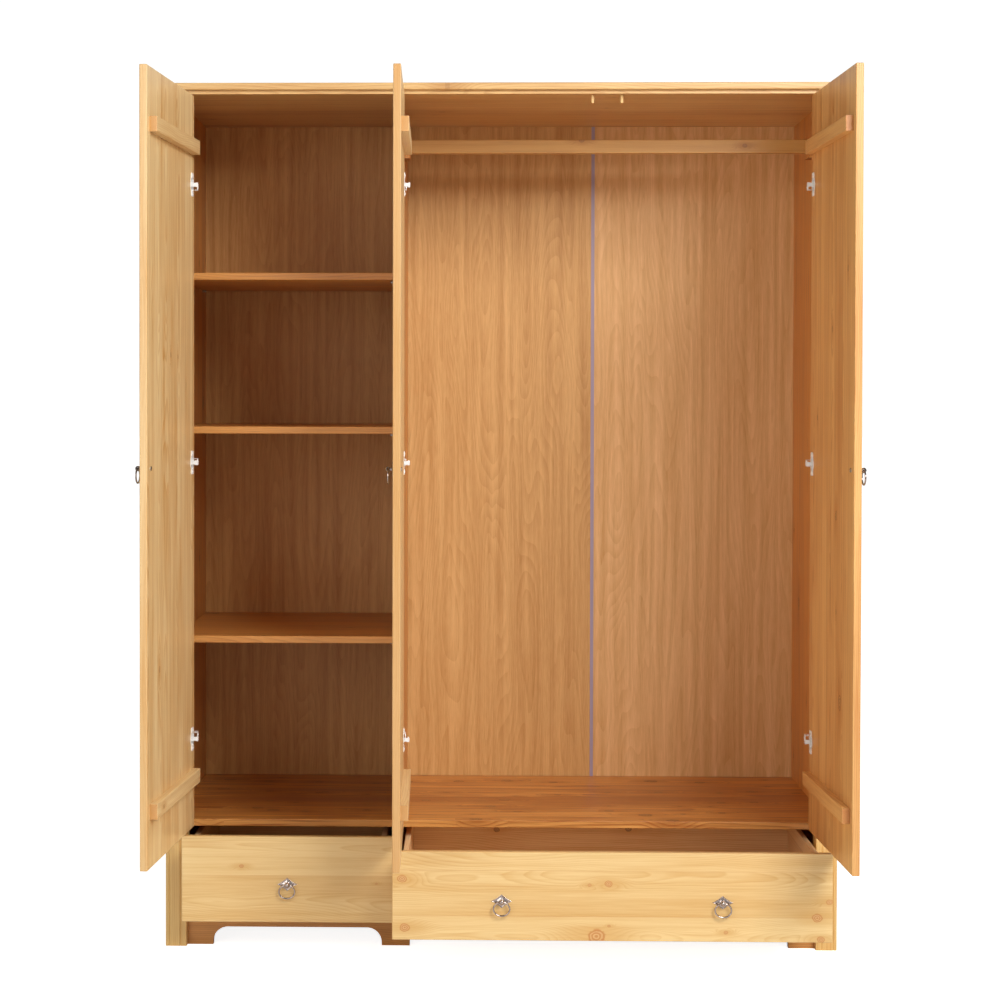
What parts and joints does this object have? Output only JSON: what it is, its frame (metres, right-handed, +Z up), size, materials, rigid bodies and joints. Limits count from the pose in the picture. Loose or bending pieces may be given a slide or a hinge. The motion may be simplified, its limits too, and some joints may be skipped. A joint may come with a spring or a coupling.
{
  "type": "wardrobe",
  "caption": "Pine wardrobe with hinged doors over a shelved bay and a hanging bay, drawers underneath, and an arched plinth.",
  "frame": {"origin": "on the floor at the middle of the back, where the wardrobe stands against a wall", "axes": "+Z up, +Y towards the wall, +X to the right of someone facing the doors"},
  "size_m": [1.52, 1.0674, 1.93],
  "materials": {
    "pine_carcass": "warm varnished pine, satin",
    "pine_front": "warm varnished pine, satin",
    "pine_shelf": "warm varnished pine, satin",
    "pine_small": "warm varnished pine, satin",
    "pine_box": "lacquered pine, satin",
    "back_board": "printed wood grain on hardboard, satin",
    "joint_strip": "smooth",
    "pull_metal": "satin nickel",
    "hinge_metal": "bright nickel",
    "screw_metal": "zinc plated"
  },
  "bodies": {
    "carcass": {"back_joint_strips": "joint_strip", "back_panel_left": "back_board", "back_panel_middle": "back_board", "back_panel_right": "back_board", "carcass_screws": "screw_metal", "clothes_rail": "pine_small", "divider_panel": "pine_carcass", "door_stop_pegs": "pine_small", "drawer_divider": "pine_carcass", "drawer_runners": "pine_small", "floor_board": "pine_carcass", "front_post_left": "pine_carcass", "front_post_right": "pine_carcass", "hinge_plates": "hinge_metal", "plinth_front": "pine_carcass", "plinth_rear": "pine_carcass", "rail_cleats": "pine_small", "shelf_high": "pine_shelf", "shelf_low": "pine_shelf", "shelf_middle": "pine_shelf", "shelf_pins": "pine_small", "side_panel_left": "pine_carcass", "side_panel_right": "pine_carcass", "top_board": "pine_carcass"},
    "door_left": {"door_left": "pine_front", "door_left_ledges": "pine_small", "door_left_hinge_cups": "hinge_metal", "door_left_pull": "pull_metal", "door_left_pull_screw": "screw_metal"},
    "ring_door_left": {"door_left_ring": "pull_metal"},
    "door_middle": {"door_middle": "pine_front", "door_middle_ledges": "pine_small", "door_middle_hinge_cups": "hinge_metal", "door_middle_pull": "pull_metal", "door_middle_pull_screw": "screw_metal"},
    "ring_door_middle": {"door_middle_ring": "pull_metal"},
    "door_right": {"door_right": "pine_front", "door_right_ledges": "pine_small", "door_right_hinge_cups": "hinge_metal", "door_right_pull": "pull_metal", "door_right_pull_screw": "screw_metal"},
    "ring_door_right": {"door_right_ring": "pull_metal"},
    "drawer_left": {"left_drawer_front": "pine_front", "left_drawer_side_left": "pine_box", "left_drawer_side_right": "pine_box", "left_drawer_back": "pine_box", "left_drawer_bottom": "pine_box", "left_drawer_pulls": "pull_metal", "left_drawer_pull_screws": "screw_metal"},
    "drawer_right": {"right_drawer_front": "pine_front", "right_drawer_side_left": "pine_box", "right_drawer_side_right": "pine_box", "right_drawer_back": "pine_box", "right_drawer_bottom": "pine_box", "right_drawer_pulls": "pull_metal", "right_drawer_pull_screws": "screw_metal"},
    "ring_drawer_left": {"left_drawer_pull_ring": "pull_metal"},
    "ring_drawer_right_a": {"right_drawer_pull_a_ring": "pull_metal"},
    "ring_drawer_right_b": {"right_drawer_pull_b_ring": "pull_metal"}
  },
  "joints": [
    {"name": "door_left_hinge", "type": "hinge", "parent": "carcass", "child": "door_left", "pos_m": [-0.702, -0.601, 1.086], "axis": [0, 0, -1], "range_deg": [-94.3, 10.7]},
    {"name": "door_middle_hinge", "type": "hinge", "parent": "carcass", "child": "door_middle", "pos_m": [-0.23333, -0.601, 1.086], "axis": [0, 0, -1], "range_deg": [-89, 1]},
    {"name": "door_right_hinge", "type": "hinge", "parent": "carcass", "child": "door_right", "pos_m": [0.702, -0.601, 1.086], "axis": [0, 0, 1], "range_deg": [-92, 13]},
    {"name": "drawer_left_slide", "type": "slide", "parent": "carcass", "child": "drawer_left", "axis": [0, -1, 0], "range_m": [-0.095, 0.235]},
    {"name": "drawer_right_slide", "type": "slide", "parent": "carcass", "child": "drawer_right", "axis": [0, -1, 0], "range_m": [-0.24, 0.11]},
    {"name": "ring_door_left_swing", "type": "hinge", "parent": "door_left", "child": "ring_door_left", "pos_m": [-0.74368, -1.03526, 1.086], "axis": [0.075, 0.9972, 0], "range_deg": [-6, 150]},
    {"name": "ring_door_middle_swing", "type": "hinge", "parent": "door_middle", "child": "ring_door_middle", "pos_m": [-0.23472, -1.03726, 1.086], "axis": [-0.0175, 0.9998, 0], "range_deg": [-6, 150]},
    {"name": "ring_door_right_swing", "type": "hinge", "parent": "door_right", "child": "ring_door_right", "pos_m": [0.72622, -1.03659, 1.086], "axis": [0.0349, -0.9994, 0], "range_deg": [-6, 150]},
    {"name": "ring_drawer_left_swing", "type": "hinge", "parent": "drawer_left", "child": "ring_drawer_left", "pos_m": [-0.46867, -0.705, 0.162], "axis": [-1, 0, 0], "range_deg": [-6, 150]},
    {"name": "ring_drawer_right_a_swing", "type": "hinge", "parent": "drawer_right", "child": "ring_drawer_right_a", "pos_m": [0, -0.85, 0.162], "axis": [-1, 0, 0], "range_deg": [-6, 150]},
    {"name": "ring_drawer_right_b_swing", "type": "hinge", "parent": "drawer_right", "child": "ring_drawer_right_b", "pos_m": [0.46867, -0.85, 0.162], "axis": [-1, 0, 0], "range_deg": [-6, 150]}
  ]
}
